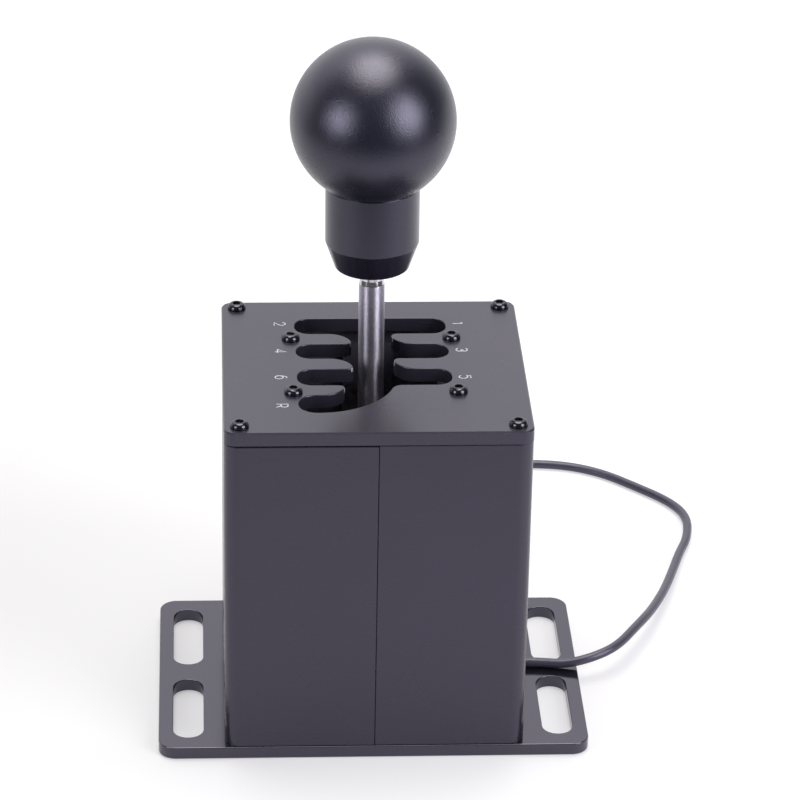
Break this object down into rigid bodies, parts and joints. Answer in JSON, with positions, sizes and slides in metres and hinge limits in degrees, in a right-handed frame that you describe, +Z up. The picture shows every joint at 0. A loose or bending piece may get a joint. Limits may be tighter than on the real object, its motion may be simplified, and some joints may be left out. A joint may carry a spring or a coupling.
{
  "type": "sim racing gear shifter",
  "caption": "H-pattern gear shifter for a driving rig: slotted base plate, box housing, cut gate plate, and a sprung lever with a ball knob on a gimbal; thin USB lead.",
  "frame": {"origin": "centre of the base plate's underside", "axes": "+Z up, +X towards gears 1, 3 and 5, +Y towards the lane of gears 1 and 2"},
  "size_m": [0.1827, 0.191, 0.2162],
  "materials": {
    "black_anodised": "satin black anodised, slightly purple",
    "black_anodised_top": "satin black anodised gate plate, slightly purple",
    "black_screw": "black oxide",
    "inner_anodised": "machined, black anodised",
    "zinc_steel": "bright zinc",
    "shaft_steel": "ground and lightly brushed",
    "spring_steel": "blued spring steel",
    "bronze": "sintered bronze",
    "brass_insert": "turned",
    "satin_black_collar": "turned, satin black anodised",
    "satin_black_ball": "fine blasted, satin black anodised",
    "circuit_board": "green solder mask",
    "chip_black": "moulded epoxy",
    "nylon": "natural nylon",
    "nylon_black": "black nylon",
    "black_rubber": "soft black rubber",
    "cable_jacket": "soft dark grey PVC",
    "plug_plastic": "moulded black PVC",
    "plug_steel": "nickel plated"
  },
  "bodies": {
    "root": {"base_plate": "black_anodised", "base_screws": "black_screw", "housing_left": "black_anodised", "housing_right": "black_anodised", "seam_strips": "inner_anodised", "seam_strip_screws": "black_screw", "gate_plate": "black_anodised_top", "gate_corner_screws": "black_screw", "gate_inner_screws": "black_screw", "gate_pillars": "inner_anodised", "pillar_studs": "zinc_steel", "cheek_left": "inner_anodised", "cheek_right": "inner_anodised", "pivot_bushes": "bronze", "lane_centring_springs": "spring_steel", "lane_sensor_board": "circuit_board", "lane_sensor_chip": "chip_black", "lane_sensor_screws": "zinc_steel", "lane_sensor_spacers": "nylon", "controller_board": "circuit_board", "board_spacers": "nylon", "board_screws": "zinc_steel", "controller_chips": "chip_black", "board_connectors": "nylon", "cable_grommet": "black_rubber", "lead_stop_tie": "nylon", "lead_inside": "cable_jacket", "usb_cable": "cable_jacket", "usb_cable_coil": "cable_jacket", "usb_cable_tail": "cable_jacket", "cable_tie": "nylon_black", "usb_plug_body": "plug_plastic", "usb_plug_shell": "plug_steel", "usb_plug_tongue": "chip_black"},
    "gimbal": {"gimbal_ring": "inner_anodised", "ring_pivot_pins": "zinc_steel", "gear_axle_bushes": "bronze", "detent_bracket": "inner_anodised", "bracket_screws": "black_screw", "detent_leaf_spring": "spring_steel", "leaf_screws": "zinc_steel", "lane_magnet": "zinc_steel", "gear_sensor_board": "circuit_board", "gear_sensor_chip": "chip_black", "gear_sensor_spacers": "nylon", "gear_sensor_screws": "zinc_steel"},
    "lever": {"lever_hub": "inner_anodised", "hub_set_screw": "black_screw", "gear_axle": "zinc_steel", "gear_magnet": "zinc_steel", "lever_shaft": "shaft_steel", "shaft_lock_nut": "zinc_steel", "knob_collar": "satin_black_collar", "knob_insert": "brass_insert", "knob_ball": "satin_black_ball"}
  },
  "joints": [
    {"name": "lane_select", "type": "hinge", "parent": "root", "child": "gimbal", "pos_m": [0, 0.0096, 0.042], "axis": [-1, 0, 0], "range_deg": [-14.3, 14.3], "stiffness_Nm_per_rad": 1.5, "deforming": ["lane_centring_springs"]},
    {"name": "gear_engage", "type": "hinge", "parent": "gimbal", "child": "lever", "pos_m": [0, 0.0096, 0.042], "axis": [0, 1, 0], "range_deg": [-13.7, 14.3], "deforming": ["detent_leaf_spring"]}
  ]
}
